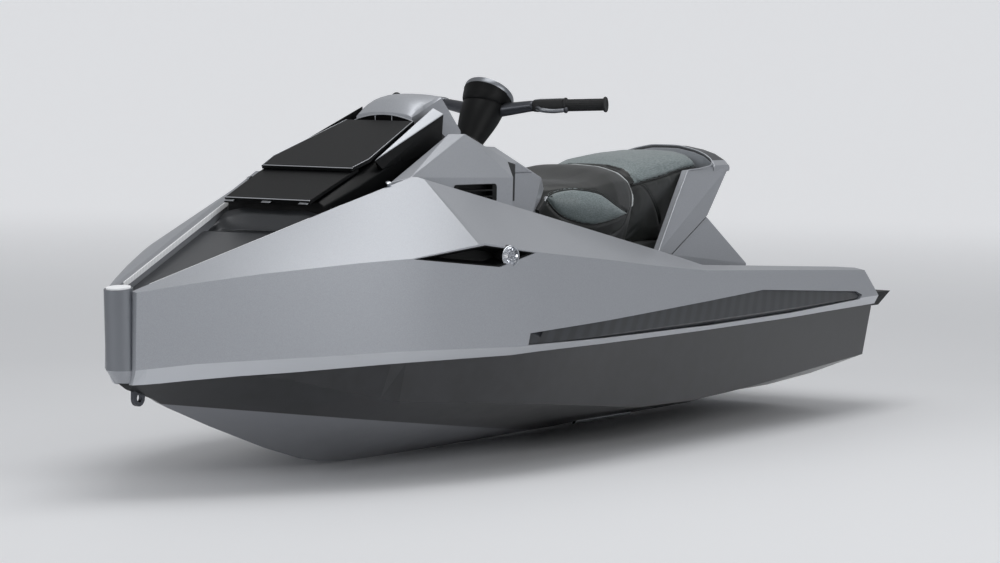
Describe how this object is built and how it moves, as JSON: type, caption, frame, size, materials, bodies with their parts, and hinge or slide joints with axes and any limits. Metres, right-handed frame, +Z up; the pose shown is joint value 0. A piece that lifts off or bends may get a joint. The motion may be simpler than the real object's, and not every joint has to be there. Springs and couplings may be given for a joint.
{
  "type": "electric personal watercraft",
  "caption": "Electric personal watercraft: faceted runabout hull with jet pump, steering column with bars and display, hinged front lid over a bin, saddle with rear seat and tail frame.",
  "frame": {"origin": "on the centreline amidships at the waterline, where a displacement model would hold the craft", "axes": "+X towards the bow, +Y to port, +Z up"},
  "size_m": [3.5754, 1.1786, 1.1114],
  "materials": {
    "silver_paint": "satin metallic",
    "hull_gelcoat": "semi-gloss",
    "deck_moulding": "satin",
    "nose_metal": "brushed",
    "white_lens": "frosted",
    "steel": "polished",
    "hood_paint": "satin",
    "black_gloss": "semi-gloss",
    "black_matte": "matte",
    "rubber": "matte",
    "seat_leather": "satin",
    "screen_glass": "gloss",
    "lamp_lens": "clear",
    "cast_alloy": "cast",
    "battery_case": "satin"
  },
  "bodies": {
    "craft": {"lower_hull": "hull_gelcoat", "side_panel_port": "silver_paint", "side_panel_starboard": "silver_paint", "deck": "deck_moulding", "nose_cap": "nose_metal", "nose_lamp": "white_lens", "bow_eye": "steel", "hood": "hood_paint", "light_strips": "white_lens", "front_tray": "black_matte", "cowl": "black_gloss", "cowl_strips": "silver_paint", "cowl_cap": "silver_paint", "pod_port": "silver_paint", "pod_starboard": "silver_paint", "intake_grilles": "black_matte", "console": "silver_paint", "column_collar": "black_matte", "lamp_recesses": "black_matte", "side_lamps": "lamp_lens", "side_inserts": "black_gloss", "foot_mats": "rubber", "seat_base": "black_matte", "saddle": "seat_leather", "rear_seat": "seat_leather", "tail_frame": "silver_paint", "stern_platform": "black_matte", "stern_eyes": "steel", "battery_pack": "battery_case", "drive_motor": "battery_case", "pump_duct": "cast_alloy", "intake_grate": "steel", "ride_plate": "cast_alloy"},
    "lid": {"lid_upper": "black_gloss", "lid_lower": "black_gloss", "lid_trims": "steel"},
    "steering": {"steering_column": "black_gloss", "display_head": "black_gloss", "display_glass": "screen_glass", "handlebar": "steel", "grips": "rubber", "levers": "black_matte"},
    "impeller": {"impeller": "steel"},
    "nozzle": {"steering_nozzle": "cast_alloy"}
  },
  "joints": [
    {"name": "steer", "type": "hinge", "parent": "craft", "child": "steering", "pos_m": [-0.122, 0, 0.796], "axis": [-0.6157, 0, 0.788], "range_deg": [-24, 24]},
    {"name": "lid_hinge", "type": "hinge", "parent": "craft", "child": "lid", "pos_m": [0.458, 0, 0.715], "axis": [0, -1, 0], "range_deg": [0, 55]},
    {"name": "impeller_spin", "type": "hinge", "parent": "craft", "child": "impeller", "pos_m": [-1.18, 0, -0.06], "axis": [1, 0, 0], "continuous": true},
    {"name": "nozzle_steer", "type": "hinge", "parent": "craft", "child": "nozzle", "pos_m": [-1.53, 0, -0.06], "axis": [0, 0, 1], "range_deg": [-20, 20]}
  ],
  "couplings": [
    {"joint": "nozzle_steer", "follows": "steer", "ratio": -0.8}
  ]
}
